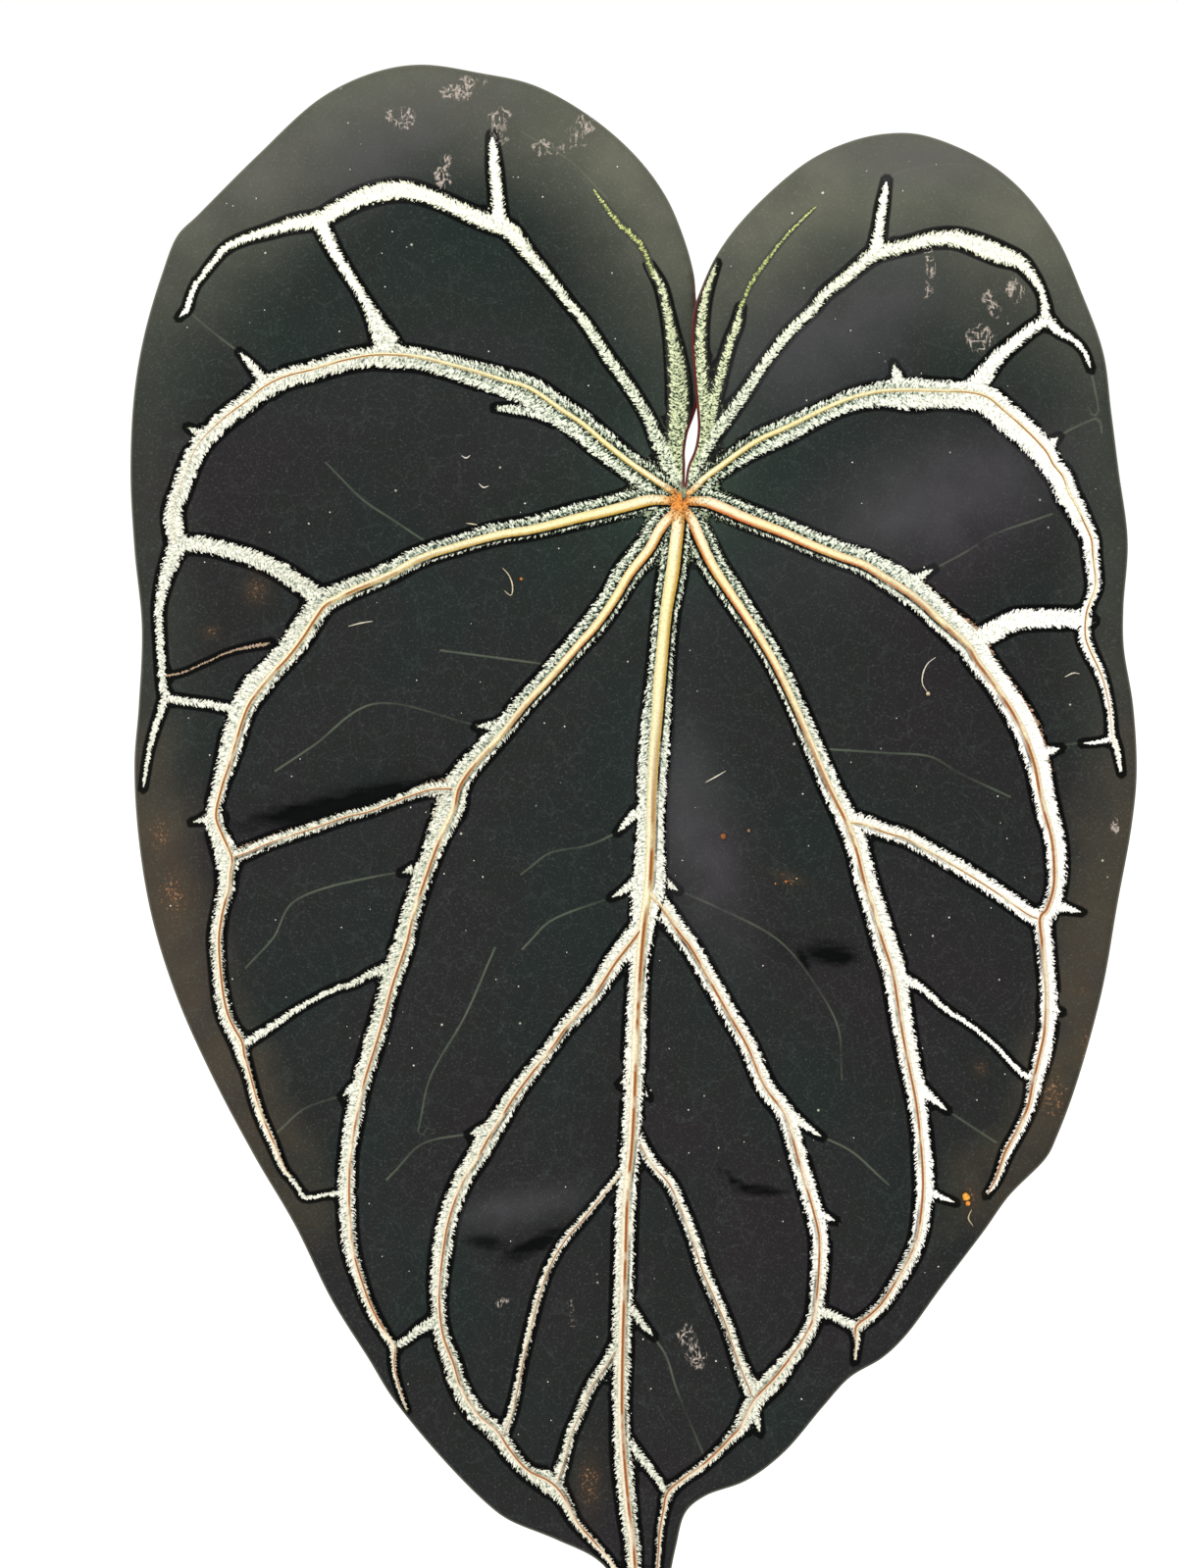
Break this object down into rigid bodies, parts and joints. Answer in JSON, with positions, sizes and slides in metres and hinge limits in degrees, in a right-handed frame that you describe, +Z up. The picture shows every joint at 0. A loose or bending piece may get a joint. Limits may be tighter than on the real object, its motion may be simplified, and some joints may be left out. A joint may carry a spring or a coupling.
{
  "type": "potted anthurium hybrid",
  "caption": "Aroid house plant in a round pot of bark mix: a tall arching petiole carries a large dark velvet heart-shaped leaf with a raised silver vein net, hanging tip down.",
  "frame": {"origin": "centre of the flat base of the pot", "axes": "+Z up, along the height of the plant; the face of the leaf looks towards -Y"},
  "size_m": [0.2565, 0.2211, 0.6678],
  "materials": {
    "pot_plastic": "moulded, matt charcoal",
    "bark_mix": "rough bark chips with white perlite",
    "stem_skin": "corky green-brown with ring scars",
    "dry_sheath": "dry papery brown",
    "petiole_skin": "smooth waxy green flushed red near the joint",
    "leaf_velvet": "near-black green velvet",
    "leaf_silver": "silvery cream bands with orange cores near the joint"
  },
  "bodies": {
    "root": {"pot": "pot_plastic", "potting_mix": "bark_mix", "stem": "stem_skin", "sheath_leaf_1": "dry_sheath", "sheath_leaf_2": "dry_sheath", "petiole": "petiole_skin", "leaf_blade": "leaf_velvet", "leaf_veins": "leaf_silver"}
  },
  "joints": []
}
